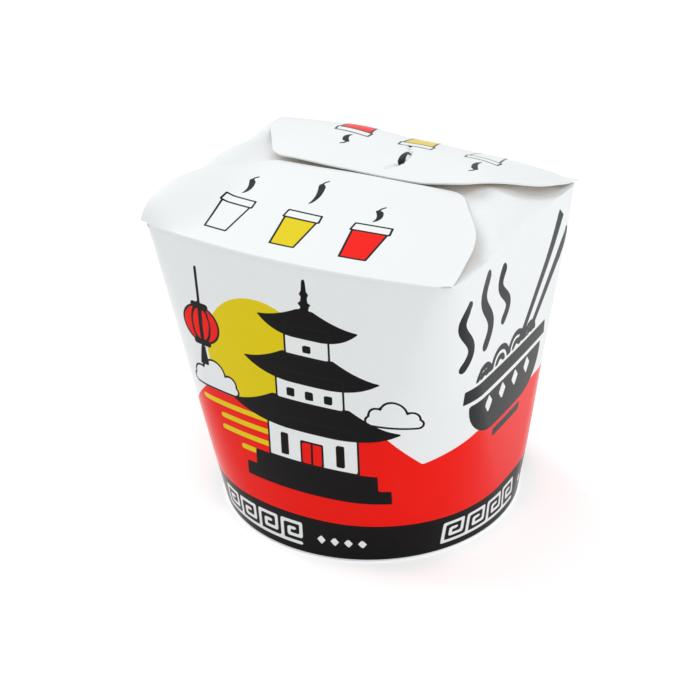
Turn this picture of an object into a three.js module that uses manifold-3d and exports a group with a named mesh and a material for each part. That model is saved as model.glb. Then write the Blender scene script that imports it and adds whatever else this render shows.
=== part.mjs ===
// A shut noodle takeaway box of folded paperboard, with a round base and a low, uneven gable top.
// Millimetres, +Z up. The origin is the middle of the base, on the surface that the box stands on.
// +X runs to the right along the front crease, and +Y runs from the front panel to the back panel.
import * as THREE from "three";
import { mergeVertices } from "three/addons/utils/BufferGeometryUtils.js";
import Module from "manifold-3d";

// Body: a round base that turns into a rounded rectangle with bowed sides at the crease line.
const baseRadius = 45;
const creaseHeight = 89.3;
const topWidth = 96.4;
const topDepth = 89.8;
const cornerRadius = 6.9;
const frontBow = 4.1;
const sideBow = 0.6;

// Base: the wall's lower edge stands below a disc that is pressed in as a shallow upturned tray.
const rimWidth = 1.6;
const recessDepth = 3.4;
const discThickness = 0.6;
const discClearance = 0.4;
const discFoot = 0.6;

// Flaps: one big flap folds in from the front crease and one from the back crease.
const boardThickness = 0.6;
const creaseBead = 0.25;
const earReach = 46.6;
const flapCorners = [[43.1, 22.5], [29.8, 43.0], [0, 45.4]];
const cornerReaches = [7, 4, 14];

// Closure heights above the crease line: the front flap is a plane with a lifted left margin,
// and the back flap is a steep arch on the left and a swollen rising plane on the right.
const frontSlope = 0.168;
const leftLift = { rise: 7.4, reach: 4, slope: 0.055, from: -28, to: -45 };
const backSlope = 0.174;
const backRightLift = { slope: 0.07, from: 16, to: 32 };
const backCrown = { rise: 2.2, reach: 2.5, fadeFrom: 46.6, fadeTo: 38 };
const backSwell = { rise: 4, right: [46, 18], left: [-16, 6] };
const backArch = { rise: 12.4, reach: 8, sag: 0.3, length: 45, from: 16, to: -24 };

// Folded ends under the flaps: the right one leans in, and the left one stands almost upright.
const rightLean = 12;
const leftLean = 4.5;
const underFlapGap = { left: 0.15, right: 0.5, blend: 25 };
const fusedDepth = 8;
const ridgeBlend = [2, 10];
const frontCrisp = [27, 12];
const backCrisp = [44, 26];
const pockets = [
  { x: 30, y: 9, depth: 1.4, radius: 8 },
  { x: -40, y: 8, depth: 2.2, radius: 4.5 },
];
const leftCrest = { x: -43, rise: 1.4, width: 5, front: [-20, -6], back: [34, 18] };
const webFold = { from: [46.8, 36], to: [38, 6], depth: 1.5, radius: 2.6 };

// Facets.
const sideSteps = 2;
const cornerSteps = 10;
const frontSteps = 4;
const wallLevels = 6;
const roofRings = 12;
const flapRows = 9;
const rowCrowding = 1.4;
const flapColumns = 44;

const smoothStep = (from, to, value) => {
  const share = THREE.MathUtils.clamp((value - from) / (to - from), 0, 1);
  return share * share * (3 - 2 * share);
};
const mix = (first, second, share) => first + (second - first) * share;

// Arcs of the top outline: each side is a flat arc, and the corner arcs join them without a kink.
function solveOutline() {
  const arcs = { frontAngle: 0, sideAngle: 0, frontHalf: 0, sideHalf: 0 };
  for (let pass = 0; pass < 40; pass += 1) {
    const { frontAngle, sideAngle } = arcs;
    const cornerX = cornerRadius * (Math.cos(sideAngle) - Math.sin(frontAngle));
    const cornerY = cornerRadius * (Math.cos(frontAngle) - Math.sin(sideAngle));
    arcs.frontHalf = topWidth / 2 - cornerX - sideBow;
    arcs.sideHalf = topDepth / 2 - cornerY - frontBow;
    arcs.frontAngle = 2 * Math.atan2(frontBow, arcs.frontHalf);
    arcs.sideAngle = 2 * Math.atan2(sideBow, arcs.sideHalf);
  }
  arcs.frontRadius = arcs.frontHalf / Math.sin(arcs.frontAngle);
  arcs.sideRadius = arcs.sideHalf / Math.sin(arcs.sideAngle);
  return arcs;
}
const arcs = solveOutline();

// Point of the top outline whose outward normal has this angle, folded into the first quarter.
function outlinePoint(angle) {
  const signX = Math.cos(angle) < 0 ? -1 : 1;
  const signY = Math.sin(angle) < 0 ? -1 : 1;
  const cosine = Math.abs(Math.cos(angle));
  const sine = Math.abs(Math.sin(angle));
  const turn = Math.atan2(sine, cosine);
  let x;
  let y;
  if (turn <= arcs.sideAngle) {
    x = topWidth / 2 - arcs.sideRadius * (1 - cosine);
    y = arcs.sideRadius * sine;
  } else if (turn >= Math.PI / 2 - arcs.frontAngle) {
    x = arcs.frontRadius * cosine;
    y = topDepth / 2 - arcs.frontRadius * (1 - sine);
  } else {
    x = topWidth / 2 - sideBow + cornerRadius * (cosine - Math.cos(arcs.sideAngle));
    y = arcs.sideHalf + cornerRadius * (sine - Math.sin(arcs.sideAngle));
  }
  return [signX * x, signY * y];
}

// Distance of the bowed front or back crease from the middle plane, at this x.
function creaseDistance(x) {
  const radius = arcs.frontRadius;
  return topDepth / 2 - (radius - Math.sqrt(radius * radius - x * x));
}

// Heights of the flaps' upper faces above the crease line, at a distance in from their crease.
function frontHeight(x, inward) {
  const plane = frontSlope * inward;
  const lifted = leftLift.rise * (1 - Math.exp(-inward / leftLift.reach)) + leftLift.slope * inward;
  return mix(plane, lifted, smoothStep(leftLift.from, leftLift.to, x));
}

function backHeight(x, inward) {
  const slope = backSlope + backRightLift.slope * smoothStep(backRightLift.from, backRightLift.to, x);
  const bulge = (1 - Math.exp(-inward / backCrown.reach)) * (1 - inward / backArch.length) ** 2;
  const crown = backCrown.rise * bulge * smoothStep(backCrown.fadeFrom, backCrown.fadeTo, x);
  const along = Math.min(inward / backArch.length, 1);
  const across = smoothStep(...backSwell.right, x) * smoothStep(...backSwell.left, x);
  const swell = backSwell.rise * Math.sin(Math.PI * along) * across;
  const sag = 1 - backArch.sag * (inward / backArch.length) ** 2;
  const arch = backArch.rise * (1 - Math.exp(-inward / backArch.reach)) * sag;
  const plane = slope * inward + crown + swell;
  return mix(plane, arch, smoothStep(backArch.from, backArch.to, x));
}

// Dip of the folded web that runs in from each right-hand corner of the body.
function webDip(x, y) {
  const [startX, startY] = webFold.from;
  const alongX = webFold.to[0] - startX;
  const alongY = webFold.to[1] - startY;
  const offsetX = x - startX;
  const offsetY = Math.abs(y) - startY;
  const share = (offsetX * alongX + offsetY * alongY) / (alongX * alongX + alongY * alongY);
  const held = THREE.MathUtils.clamp(share, 0, 1);
  const distance = Math.hypot(offsetX - held * alongX, offsetY - held * alongY);
  const fade = Math.sin(Math.PI * THREE.MathUtils.clamp(share, 0, 1));
  return webFold.depth * fade * Math.exp(-((distance / webFold.radius) ** 2) / 2);
}

// Extra height of the folded end on the left, which stands up a little above the flaps beside it.
function crestHeight(x, y) {
  const across = Math.exp(-(((x - leftCrest.x) / leftCrest.width) ** 2));
  return leftCrest.rise * across * smoothStep(...leftCrest.front, y) * smoothStep(...leftCrest.back, y);
}

// How round the side crease is: none beside the front corners, full from the middle to the back.
function softness(y) {
  return y < 0 ? smoothStep(...frontCrisp, -y) : smoothStep(...backCrisp, y);
}

// Height of the folded ends and webs that fill the top under the flaps. An end rises from the side
// crease as a quarter sine where it is crisp, and as a quarter circle, which starts upright, where round.
function roofHeight(x, y) {
  const frontInward = Math.max(creaseDistance(x) + y, 0);
  const backInward = Math.max(creaseDistance(x) - y, 0);
  const nearest = Math.min(frontInward, backInward);
  const gable = mix(
    frontHeight(x, frontInward),
    backHeight(x, backInward),
    smoothStep(ridgeBlend[0], ridgeBlend[1], y),
  );
  const gap = mix(
    underFlapGap.left,
    underFlapGap.right,
    smoothStep(-underFlapGap.blend, underFlapGap.blend, x),
  );
  const clearance = (boardThickness + gap) * smoothStep(0, fusedDepth, nearest);
  const endDistance = topWidth / 2 - Math.abs(x);
  const lean = x > 0 ? rightLean : leftLean;
  const leanShare = THREE.MathUtils.clamp(endDistance / lean, 0, 1);
  const crisp = Math.sin((leanShare * Math.PI) / 2);
  const soft = Math.sqrt(1 - (1 - leanShare) ** 2);
  const end = mix(crisp, soft, softness(y));
  const dips = pockets.map((pocket) => {
    const away = (x - pocket.x) ** 2 + (y - pocket.y) ** 2;
    return pocket.depth * Math.exp(-away / (2 * pocket.radius ** 2));
  });
  const dip = dips.reduce((sum, depth) => sum + depth, webDip(x, y));
  return Math.max((gable - clearance + crestHeight(x, y)) * end - dip, 0);
}

// Outward-normal angles round the body, closer together where the outline turns.
function outlineAngles() {
  const quarter = [
    [0, arcs.sideAngle, sideSteps],
    [arcs.sideAngle, Math.PI / 2 - arcs.frontAngle, cornerSteps],
    [Math.PI / 2 - arcs.frontAngle, Math.PI / 2, frontSteps],
  ];
  const first = [];
  for (const [from, to, steps] of quarter) {
    for (let step = 0; step < steps; step += 1) first.push(mix(from, to, step / steps));
  }
  const mirrored = first.slice(1).map((angle) => Math.PI - angle).reverse();
  const half = [...first, Math.PI / 2, ...mirrored];
  return [...half, ...half.map((angle) => angle + Math.PI)];
}

// Closed surface through rings of equal length, from a first pole to a last pole.
function ringSolid(firstPole, rings, lastPole) {
  const count = rings[0].length;
  const positions = [...firstPole, ...rings.flat(2), ...lastPole];
  const last = 1 + rings.length * count;
  const at = (ring, index) => 1 + ring * count + (index % count);
  const faces = [];
  for (let index = 0; index < count; index += 1) {
    faces.push(0, at(0, index + 1), at(0, index));
    faces.push(last, at(rings.length - 1, index), at(rings.length - 1, index + 1));
    for (let ring = 0; ring < rings.length - 1; ring += 1) {
      faces.push(at(ring, index), at(ring, index + 1), at(ring + 1, index + 1));
      faces.push(at(ring, index), at(ring + 1, index + 1), at(ring + 1, index));
    }
  }
  return indexedGeometry(positions, faces);
}

function indexedGeometry(positions, faces) {
  const geometry = new THREE.BufferGeometry();
  geometry.setAttribute("position", new THREE.Float32BufferAttribute(positions, 3));
  geometry.setIndex(faces);
  return geometry;
}

function buildBody() {
  const angles = outlineAngles();
  const circle = (radius, z) => angles.map((angle) => [radius * Math.cos(angle), radius * Math.sin(angle), z]);
  const recessRadius = baseRadius - rimWidth;
  const rings = [circle(recessRadius, recessDepth), circle(recessRadius, 0)];
  for (let level = 0; level <= wallLevels; level += 1) {
    const share = level / wallLevels;
    rings.push(angles.map((angle) => {
      const [x, y] = outlinePoint(angle);
      return [
        mix(baseRadius * Math.cos(angle), x, share),
        mix(baseRadius * Math.sin(angle), y, share),
        share * creaseHeight,
      ];
    }));
  }
  for (let ring = 1; ring < roofRings; ring += 1) {
    const size = 1 - (ring / roofRings) ** 1.4;
    rings.push(angles.map((angle) => {
      const [x, y] = outlinePoint(angle).map((value) => value * size);
      return [x, y, creaseHeight + roofHeight(x, y)];
    }));
  }
  return ringSolid([0, 0, recessDepth], rings, [0, 0, creaseHeight + roofHeight(0, 0)]);
}

// Straight lines through the corners, with each inner corner replaced by a short curve.
function softPath(corners, reaches) {
  const vectors = corners.map(([x, y]) => new THREE.Vector2(x, y));
  const path = new THREE.Path();
  path.moveTo(vectors[0].x, vectors[0].y);
  reaches.forEach((reach, index) => {
    const [before, corner, after] = vectors.slice(index, index + 3);
    const start = corner.clone().add(before.clone().sub(corner).setLength(reach));
    const end = corner.clone().add(after.clone().sub(corner).setLength(reach));
    path.lineTo(start.x, start.y);
    path.quadraticCurveTo(corner.x, corner.y, end.x, end.y);
  });
  const last = vectors[vectors.length - 1];
  path.lineTo(last.x, last.y);
  return path;
}

// A flap's cut edge as [x, distance in from the crease], from the left ear to the right ear.
function flapEdge() {
  const right = [[earReach, 0], ...flapCorners];
  const left = right.slice(0, -1).map(([x, inward]) => [-x, inward]);
  const reaches = [...cornerReaches.slice(0, -1), ...[...cornerReaches].reverse()];
  const path = softPath([...left, ...right.reverse()], reaches);
  return path.getSpacedPoints(flapColumns).map((point) => [point.x, point.y]);
}

// A flap: straight lines from its crease to its cut edge, on its height, with the board's thickness.
function buildFlap(side, heightAt) {
  const edge = flapEdge();
  const columns = edge.length;
  const surface = (drop) => edge.flatMap(([edgeX, edgeInward], column) => {
    const creaseX = earReach * (2 * (column / (columns - 1)) - 1);
    const points = [];
    for (let row = 0; row <= flapRows; row += 1) {
      const share = (row / flapRows) ** rowCrowding;
      const x = mix(creaseX, edgeX, share);
      const inward = mix(0, edgeInward, share);
      const y = side * (creaseDistance(x) - inward + creaseBead * (1 - share));
      points.push(x, y, creaseHeight + heightAt(x, inward) - drop);
    }
    return points;
  });
  const rows = flapRows + 1;
  const lower = columns * rows;
  const positions = [...surface(0), ...surface(boardThickness)];
  const faces = [];
  const quad = (a, b, c, d) => (side < 0 ? faces.push(a, b, c, a, c, d) : faces.push(a, c, b, a, d, c));
  for (let column = 0; column < columns - 1; column += 1) {
    for (let row = 0; row < flapRows; row += 1) {
      const a = column * rows + row;
      const [b, c, d] = [a + rows, a + rows + 1, a + 1];
      quad(a, b, c, d);
      quad(lower + d, lower + c, lower + b, lower + a);
    }
    const start = column * rows;
    const end = start + flapRows;
    quad(lower + start, lower + start + rows, start + rows, start);
    quad(end, end + rows, lower + end + rows, lower + end);
  }
  const lastColumn = (columns - 1) * rows;
  for (let row = 0; row < flapRows; row += 1) {
    quad(row, row + 1, lower + row + 1, lower + row);
    const a = lastColumn + row;
    quad(lower + a, lower + a + 1, a + 1, a);
  }
  return indexedGeometry(positions, faces);
}

const wasm = await Module();
wasm.setup();

function toSolid(geometry) {
  const merged = mergeVertices(geometry, 1e-4);
  return new wasm.Manifold(new wasm.Mesh({
    numProp: 3,
    vertProperties: new Float32Array(merged.attributes.position.array),
    triVerts: new Uint32Array(merged.index.array),
  }));
}

// Joins the geometries and keeps the outer shell, so that a hollow sealed by the joining is filled.
function joinGeometries(geometries) {
  const joined = geometries.map(toSolid).reduce((sum, solid) => sum.add(solid));
  const shells = joined.decompose().sort((first, second) => second.volume() - first.volume());
  const mesh = shells[0].getMesh();
  return indexedGeometry(Array.from(mesh.vertProperties), Array.from(mesh.triVerts));
}

// The bottom disc with its short turned-down edge, as a closed profile turned round the axis.
function buildDisc() {
  const outer = baseRadius - rimWidth - discClearance;
  const top = recessDepth - discClearance;
  const profile = [
    [0, top - discThickness],
    [outer - discThickness, top - discThickness],
    [outer - discThickness, discFoot],
    [outer, discFoot],
    [outer, top],
    [0, top],
  ];
  const segments = 64;
  const disc = new THREE.LatheGeometry(profile.map(([x, y]) => new THREE.Vector2(x, y)), segments);
  disc.rotateX(Math.PI / 2);
  disc.deleteAttribute("normal");
  disc.deleteAttribute("uv");
  return mergeVertices(disc, 1e-4);
}

function namedMesh(name, geometry, colour, roughness) {
  const material = new THREE.MeshStandardMaterial({ color: colour, roughness, metalness: 0 });
  const mesh = new THREE.Mesh(geometry, material);
  mesh.name = name;
  return mesh;
}

const box = new THREE.Group();
box.add(namedMesh(
  "carton",
  joinGeometries([buildBody(), buildFlap(-1, frontHeight), buildFlap(1, backHeight)]),
  0xf4f5f5,
  0.42,
));
box.add(namedMesh("base_disc", buildDisc(), 0xf1efea, 0.6));

export default box;
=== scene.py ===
# A shut noodle takeaway box: printed paperboard walls, two big top flaps, folded ends and a bottom disc.
# Shapes are worked out in millimetres and put into the meshes in metres.
import math
import bpy
import numpy as np
from mathutils import Matrix, Vector


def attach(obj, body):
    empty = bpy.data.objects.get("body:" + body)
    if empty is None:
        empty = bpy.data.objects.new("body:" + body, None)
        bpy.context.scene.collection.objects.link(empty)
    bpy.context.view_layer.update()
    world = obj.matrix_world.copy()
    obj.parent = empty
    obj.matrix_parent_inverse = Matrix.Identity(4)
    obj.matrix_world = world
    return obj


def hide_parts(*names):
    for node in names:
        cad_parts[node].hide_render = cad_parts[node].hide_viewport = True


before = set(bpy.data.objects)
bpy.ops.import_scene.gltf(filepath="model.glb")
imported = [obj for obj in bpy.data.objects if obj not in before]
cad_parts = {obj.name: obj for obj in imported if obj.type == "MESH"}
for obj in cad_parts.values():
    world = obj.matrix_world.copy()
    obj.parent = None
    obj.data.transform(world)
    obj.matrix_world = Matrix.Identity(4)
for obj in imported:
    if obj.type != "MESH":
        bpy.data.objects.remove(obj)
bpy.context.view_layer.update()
mm = 0.001
print("frame loaded")

# Camera: seen from the front right and above, with a slight roll.
view = {
    "azimuth": 31.59, "elevation": 28.16, "roll": -1.87, "distance": 367.7,
    "aimHeight": 44.65, "aimSlide": -5.50, "aimLift": -1.73, "lens": 64.75, "sensor": 36.0, "nearest": 0.01,
}


def putObject(name, data):
    # An object in the scene for a mesh, a light or the camera.
    thing = bpy.data.objects.new(name, data)
    bpy.context.scene.collection.objects.link(thing)
    return thing


def makeCamera():
    # The camera looks back along the view direction at a point slid sideways and up from the axis.
    azimuth, elevation, roll = [math.radians(view[name]) for name in ("azimuth", "elevation", "roll")]
    right = Vector((math.cos(azimuth), math.sin(azimuth), 0))
    back = Vector((
        math.sin(azimuth) * math.cos(elevation),
        -math.cos(azimuth) * math.cos(elevation),
        math.sin(elevation),
    ))
    up = back.cross(right)
    aim = Vector((0, 0, view["aimHeight"])) + view["aimSlide"] * right + view["aimLift"] * up
    place = (aim + view["distance"] * back) * mm
    turnedRight = math.cos(roll) * right + math.sin(roll) * up
    turnedUp = math.cos(roll) * up - math.sin(roll) * right
    data = bpy.data.cameras.new("camera")
    data.lens = view["lens"]
    data.sensor_width = view["sensor"]
    data.clip_start = view["nearest"]
    camera = putObject("camera", data)
    camera.matrix_world = Matrix([*zip(turnedRight, turnedUp, back, place), (0, 0, 0, 1)])
    bpy.context.scene.camera = camera


makeCamera()
print("camera placed")

# The carton's driving sizes, in millimetres, as in the solids.
carton = {
    "baseRadius": 45, "creaseHeight": 89.3, "topWidth": 96.4, "topDepth": 89.8,
    "cornerRadius": 6.9, "frontBow": 4.1, "sideBow": 0.6, "recessDepth": 3.4,
}
# The shut top's sizes. Pairs give where a change starts and where it is complete.
closure = {
    "frontSlope": 0.168,
    "leftRise": 7.4, "leftReach": 4, "leftSlope": 0.055, "leftMargin": (-28, -45),
    "backSlope": 0.174, "rightLift": 0.046, "rightMargin": (16, 32),
    "crownRise": 2.2, "crownReach": 2.5, "crownFade": (46.6, 38),
    "swellRise": 4, "swellRight": (45, 20), "swellLeft": (-16, 6),
    "archRise": 12.4, "archReach": 8, "archSag": 0.3, "archLength": 45, "archMargin": (16, -24),
    "rightLean": 12, "leftLean": 4.5, "joint": 0.15, "gap": 0.75, "fusedDepth": 8,
    "ridgeBlend": (2, 10), "frontCrisp": (27, 12), "backCrisp": (44, 26),
    "crestRise": 1.2, "crestX": -43, "crestWidth": 5, "crestFront": (-20, -6), "crestBack": (34, 18),
    "pockets": [(30, 9, 0.7, 8.0), (-40, 8, 2.2, 4.5)],
    "foldFrom": (46.8, 36), "foldTo": (38, 6), "foldDepth": 1.5, "foldRadius": 2.6, "wallNotch": 0.45,
    "notches": [
        (46.0, -40.4, 1.0, 1.3), (-44.8, -41.0, 2.2, 2.8), (46.0, 40.4, 0.7, 1.3), (-46.0, 40.4, 1.0, 1.3),
    ],
    "shoulder": 1.5, "shoulderRise": (70, 93), "shoulderBend": 1.5, "shoulderSide": (25, 44),
    "creaseRound": 0.9, "roundFade": (40, 34),
}


def smoothStep(low, high, value):
    # From zero at low to one at high: three times the share's square less twice its cube.
    share = np.clip((value - low) / (high - low), 0, 1)
    return share * share * (3 - 2 * share)


def mix(first, second, share):
    # The first value and a share of the way to the second.
    return first + (second - first) * share


def solveOutline(rounds=40):
    # The angles of the flat side arcs follow from their rises and from the corner arcs between them.
    # Each round of the loop brings both angles closer.
    bow, side, radius = carton["frontBow"], carton["sideBow"], carton["cornerRadius"]
    frontAngle, sideAngle = 0.0, 0.0
    for _ in range(rounds):
        frontHalf = carton["topWidth"] / 2 - radius * (math.cos(sideAngle) - math.sin(frontAngle)) - side
        sideHalf = carton["topDepth"] / 2 - radius * (math.cos(frontAngle) - math.sin(sideAngle)) - bow
        frontAngle = 2 * math.atan2(bow, frontHalf)
        sideAngle = 2 * math.atan2(side, sideHalf)
    return {
        "frontAngle": frontAngle, "sideAngle": sideAngle, "sideHalf": sideHalf,
        "frontRadius": frontHalf / math.sin(frontAngle), "sideRadius": sideHalf / math.sin(sideAngle),
    }


arcs = solveOutline()


def outlineXY(angle):
    # Top outline by the angle of its outward normal: side arc, corner arc or front arc, mirrored to four.
    cosine, sine = np.abs(np.cos(angle)), np.abs(np.sin(angle))
    turn = np.arctan2(sine, cosine)
    onSide = turn <= arcs["sideAngle"]
    onFront = turn >= math.pi / 2 - arcs["frontAngle"]
    halfWidth, halfDepth = carton["topWidth"] / 2, carton["topDepth"] / 2
    cornerX = halfWidth - carton["sideBow"] + carton["cornerRadius"] * (cosine - math.cos(arcs["sideAngle"]))
    cornerY = arcs["sideHalf"] + carton["cornerRadius"] * (sine - math.sin(arcs["sideAngle"]))
    sideX = halfWidth - arcs["sideRadius"] * (1 - cosine)
    frontY = halfDepth - arcs["frontRadius"] * (1 - sine)
    x = np.where(onSide, sideX, np.where(onFront, arcs["frontRadius"] * cosine, cornerX))
    y = np.where(onSide, arcs["sideRadius"] * sine, np.where(onFront, frontY, cornerY))
    return np.where(np.cos(angle) < 0, -x, x), np.where(np.sin(angle) < 0, -y, y)


def creaseDistance(x):
    # Distance of the bowed crease from the middle plane: a flat arc.
    radius = arcs["frontRadius"]
    return carton["topDepth"] / 2 - (radius - np.sqrt(radius * radius - x * x))


def levelOff(inward, rise, reach):
    # A curve that levels off: its rise times one less an exponential fall.
    return rise * (1 - np.exp(-inward / reach))


def frontHeight(x, inward):
    # A plane that rises from the crease, with the left margin lifted by a curve that levels off.
    plane = closure["frontSlope"] * inward
    lifted = levelOff(inward, closure["leftRise"], closure["leftReach"]) + closure["leftSlope"] * inward
    return mix(plane, lifted, smoothStep(*closure["leftMargin"], x))


def backHeight(x, inward):
    # A steep arch on the left. On the right a rising plane, with a low crown beside the crease and a
    # half sine wave on top, which fades out towards the arch and the right corner.
    share = inward / closure["archLength"]
    lift = closure["rightLift"] * smoothStep(*closure["rightMargin"], x)
    bulge = levelOff(inward, closure["crownRise"], closure["crownReach"]) * (1 - share) ** 2
    crown = bulge * smoothStep(*closure["crownFade"], x)
    across = smoothStep(*closure["swellRight"], x) * smoothStep(*closure["swellLeft"], x)
    swell = closure["swellRise"] * np.sin(math.pi * np.minimum(share, 1)) * across
    plane = (closure["backSlope"] + lift) * inward + crown + swell
    arch = levelOff(inward, closure["archRise"], closure["archReach"]) * (1 - closure["archSag"] * share ** 2)
    return mix(plane, arch, smoothStep(*closure["archMargin"], x))


def bells(x, y, spots):
    # A sum of bells, each with its place, its height and its radius.
    return np.sum([height * np.exp(-((x - spotX) ** 2 + (y - spotY) ** 2) / (2 * radius ** 2))
                   for spotX, spotY, height, radius in spots], 0)


def softness(y):
    # How round the side crease is: none beside the front corners, full from the middle to the back.
    return np.where(y < 0, smoothStep(*closure["frontCrisp"], -y), smoothStep(*closure["backCrisp"], y))


def roofHeight(x, y):
    # The folded ends: the flaps' heights less a gap, times a rise from the side crease, less the dips. The
    # rise is a quarter sine where the crease is crisp and a quarter circle, which starts upright, where it
    # is round.
    frontInward = np.maximum(creaseDistance(x) + y, 0)
    backInward = np.maximum(creaseDistance(x) - y, 0)
    nearest = np.minimum(frontInward, backInward)
    blend = smoothStep(*closure["ridgeBlend"], y)
    gable = mix(frontHeight(x, frontInward), backHeight(x, backInward), blend)
    clearance = closure["joint"] + closure["gap"] * smoothStep(0, closure["fusedDepth"], nearest)
    endDistance = carton["topWidth"] / 2 - np.abs(x)
    lean = np.where(x > 0, closure["rightLean"], closure["leftLean"])
    inwardShare = np.clip(endDistance / lean, 0, 1)
    crisp = np.sin(inwardShare * math.pi / 2)
    soft = np.sqrt(1 - (1 - inwardShare) ** 2)
    end = mix(crisp, soft, softness(y))
    dips = webFold(x, y) + bells(x, y, closure["pockets"])
    return np.maximum((gable - clearance + crestHeight(x, y)) * end - dips, 0)


def crestHeight(x, y):
    # Extra height of the folded end on the left: a bell across it, faded towards both flaps.
    across = np.exp(-((x - closure["crestX"]) / closure["crestWidth"]) ** 2)
    along = smoothStep(*closure["crestFront"], y) * smoothStep(*closure["crestBack"], y)
    return closure["crestRise"] * across * along


def webFold(x, y):
    # A shallow valley in from each right-hand corner: a bell across a line, faded at both ends.
    y = np.abs(y)
    startX, startY = closure["foldFrom"]
    alongX, alongY = closure["foldTo"][0] - startX, closure["foldTo"][1] - startY
    share = ((x - startX) * alongX + (y - startY) * alongY) / (alongX ** 2 + alongY ** 2)
    share = np.clip(share, 0, 1)
    away = np.hypot(x - startX - share * alongX, y - startY - share * alongY)
    return closure["foldDepth"] * np.sin(math.pi * share) * np.exp(-(away / closure["foldRadius"]) ** 2 / 2)


def shoulder(x, y, z):
    # How far the side walls stand in below their crease: a slow lean where it is soft, and where it is
    # crisp a small round of a quarter circle.
    side = smoothStep(*closure["shoulderSide"], np.abs(x))
    lean = closure["shoulder"] * smoothStep(*closure["shoulderRise"], z) ** closure["shoulderBend"]
    radius = closure["creaseRound"]
    climb = np.clip((z - carton["creaseHeight"]) / radius + 1, 0, 1)
    turn = radius * (1 - np.sqrt(1 - climb ** 2)) * smoothStep(*closure["roundFade"], np.abs(y))
    return side * mix(turn, lean, softness(y))


def cornerNotch(x, y):
    # How far the body dips below the flaps' ears at its four top corners.
    return bells(x, y, closure["notches"])


# Edges whose faces turn by more than this are shaded sharp.
sharpAngle = math.radians(40)


def putMesh(name, points, faces, smooth=True):
    # A mesh object from points in millimetres.
    mesh = bpy.data.meshes.new(name)
    mesh.from_pydata((points * mm).tolist(), [], faces)
    mesh.polygons.foreach_set("use_smooth", np.full(len(mesh.polygons), smooth))
    mesh.update()
    return putObject(name, mesh)


def gridFaces(rows, columns, wrapped, start=0):
    # Quads between neighbouring rows and columns of a grid whose points are numbered row by row.
    row = np.arange(rows - 1)[:, None]
    column = np.arange(columns if wrapped else columns - 1)[None, :]
    following = (column + 1) % columns
    corners = [row * columns + column, row * columns + following]
    corners += [(row + 1) * columns + following, (row + 1) * columns + column]
    return (np.stack([part + 0 * (row + column) for part in corners], -1) + start).reshape(-1, 4)


def closedFaces(rows, columns):
    # The quads of a wrapped grid, and a fan of triangles from its first and its last row to two poles,
    # which are numbered after the grid's points.
    count = rows * columns
    around = np.arange(columns)
    following = (around + 1) % columns
    lastRow = count - columns
    under = np.stack([following, around, np.full(columns, count)], -1)
    over = np.stack([lastRow + around, lastRow + following, np.full(columns, count + 1)], -1)
    return gridFaces(rows, columns, True).tolist() + under.tolist() + over.tolist()


def turned(profile, angles):
    # Rings round the axis, one for each radius and height of a profile.
    radius, height = np.asarray(profile, float).T[..., None]
    return np.stack([radius * np.cos(angles), radius * np.sin(angles), height + 0 * angles], -1)


def setField(piece, name, values, domain="POINT"):
    # Numbers on the mesh's points or faces, for its material to read.
    layer = piece.data.attributes.new(name, "FLOAT", domain)
    layer.data.foreach_set("value", values.astype(np.float32).ravel())


# Print: each ink is a signed distance, below zero inside its shapes, kept on the mesh's points.
inks = ["inkRed", "inkYellow", "inkSlate", "inkBlack", "inkWhite"]
outlines = ["edgeFirst", "edgeSecond"]
farAway = 3.0
tiny = 1e-12


def polygonField(u, v, corners):
    # Distance to the nearest side, with the sign of the even and odd crossing rule.
    corners = np.asarray(corners, float)
    best = np.full(u.shape, np.inf)
    inside = np.zeros(u.shape, bool)
    for start, end in zip(corners, np.roll(corners, -1, 0)):
        best = np.minimum(best, lineDistance(u, v, start, end))
        crosses = (start[1] > v) != (end[1] > v)
        rise = end[1] - start[1] if end[1] != start[1] else tiny
        inside ^= crosses & (u < start[0] + (v - start[1]) * (end[0] - start[0]) / rise)
    return np.where(inside, -best, best)


def lineDistance(u, v, start, end):
    # Distance to the nearest point of a straight line between two ends, found by its share of the way.
    alongU, alongV = end[0] - start[0], end[1] - start[1]
    share = ((u - start[0]) * alongU + (v - start[1]) * alongV) / (alongU ** 2 + alongV ** 2 + tiny)
    share = np.clip(share, 0, 1)
    return np.hypot(u - start[0] - share * alongU, v - start[1] - share * alongV)


def strokeField(u, v, corners, width):
    # Distance to an open run of straight lines, less half the stroke's width.
    corners = np.asarray(corners, float)
    distances = [lineDistance(u, v, start, end) for start, end in zip(corners[:-1], corners[1:])]
    return np.minimum.reduce(distances) - width / 2


def discField(u, v, centre, radiusU, radiusV=None):
    # A circle or an ellipse: the distance from its centre in radii, less one, times the lesser radius.
    radiusV = radiusV or radiusU
    reach = np.hypot((u - centre[0]) / radiusU, (v - centre[1]) / radiusV)
    return (reach - 1) * min(radiusU, radiusV)


class Sheet:
    # Collects the ink fields of one printed area with coordinates u and v in millimetres.
    def __init__(self, u, v):
        self.u = u
        self.v = v
        self.fields = {name: np.full(u.shape, farAway) for name in inks + outlines}

    def paint(self, ink, shape):
        # Adds a shape in one ink and cuts it out of the inks that lie over that one.
        self.fields[ink] = np.minimum(self.fields[ink], shape)
        for later in inks[inks.index(ink) + 1:]:
            self.fields[later] = np.maximum(self.fields[later], -shape)

    def fill(self, ink, corners):
        self.paint(ink, polygonField(self.u, self.v, corners))

    def stroke(self, ink, run, width):
        self.paint(ink, strokeField(self.u, self.v, run, width))

    def outline(self, name, shape):
        self.fields[name] = np.minimum(self.fields[name], shape)

    def clipped(self):
        return {name: np.clip(field, -farAway, farAway) for name, field in self.fields.items()}


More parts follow.
